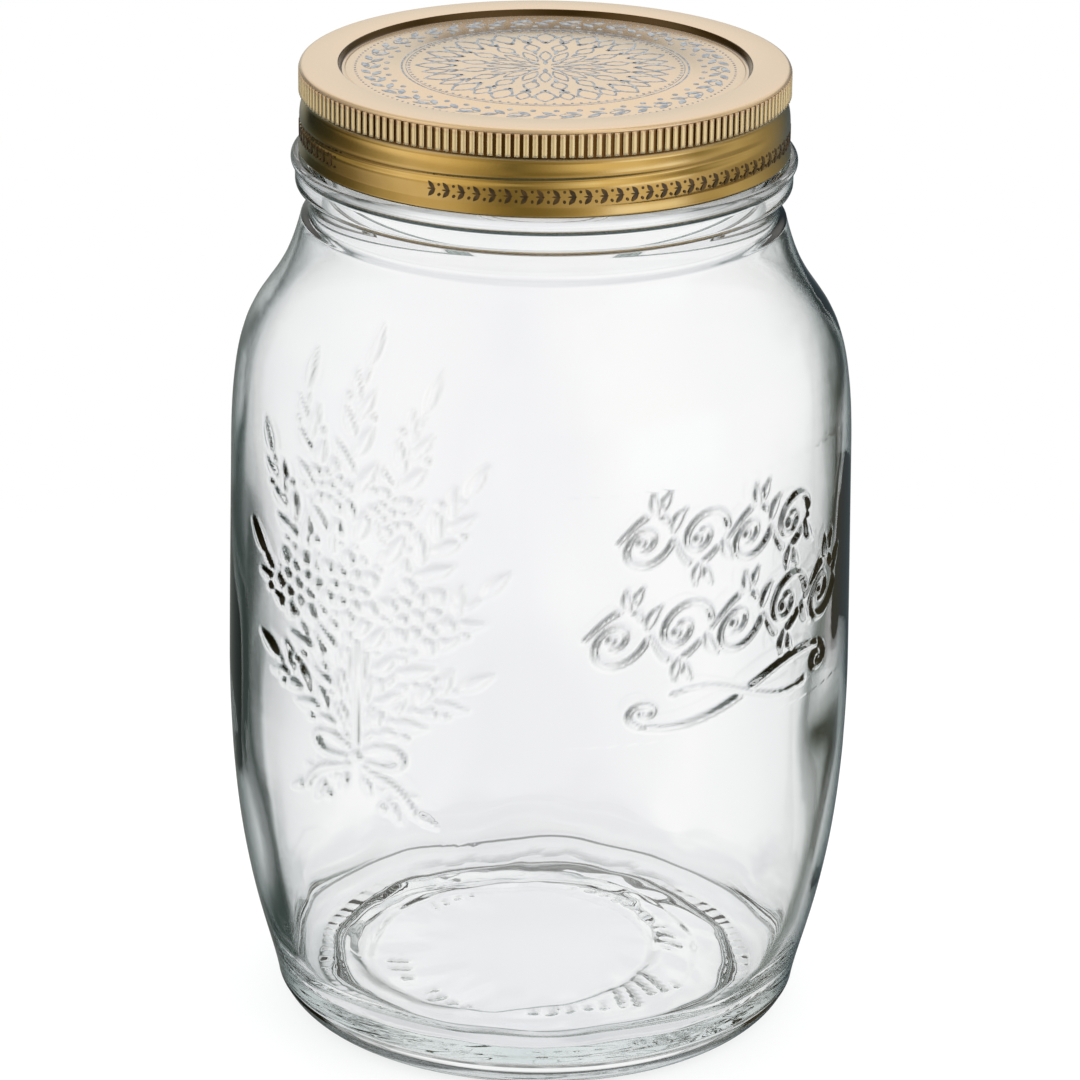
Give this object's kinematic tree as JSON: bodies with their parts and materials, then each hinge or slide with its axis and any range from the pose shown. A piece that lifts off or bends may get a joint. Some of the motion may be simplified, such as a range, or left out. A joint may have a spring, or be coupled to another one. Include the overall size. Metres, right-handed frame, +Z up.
{
  "type": "mason jar",
  "caption": "Screw-top glass preserving jar with a ribbed gold metal cap, a sealing ring inside it, embossed sides and a wide mouth.",
  "frame": {"origin": "centre of the bearing ring of the base, on the surface that the jar stands on", "axes": "+Z up along the axis of the jar, towards the cap; -Y is the front"},
  "size_m": [0.1084, 0.1084, 0.17],
  "materials": {
    "glass": "clear pressed soda-lime glass with a grey-green tint in the thick edges",
    "cap": "gold-lacquered tinplate, satin to gloss",
    "seal": "soft off-white sealing compound"
  },
  "bodies": {
    "jar": {"glass_jar": "glass"},
    "seal": {"sealing_ring": "seal"},
    "cap": {"screw_cap": "cap"}
  },
  "joints": [
    {"name": "cap_lift", "type": "slide", "parent": "jar", "child": "seal", "axis": [0, 0, 1], "range_m": [0, 0.0178]},
    {"name": "cap_turn", "type": "hinge", "parent": "seal", "child": "cap", "pos_m": [0, 0, 0.17], "axis": [0, 0, 1], "range_deg": [0, 1260]}
  ],
  "couplings": [
    {"joint": "cap_lift", "follows": "cap_turn", "m_per_rad": 0.00080851}
  ]
}
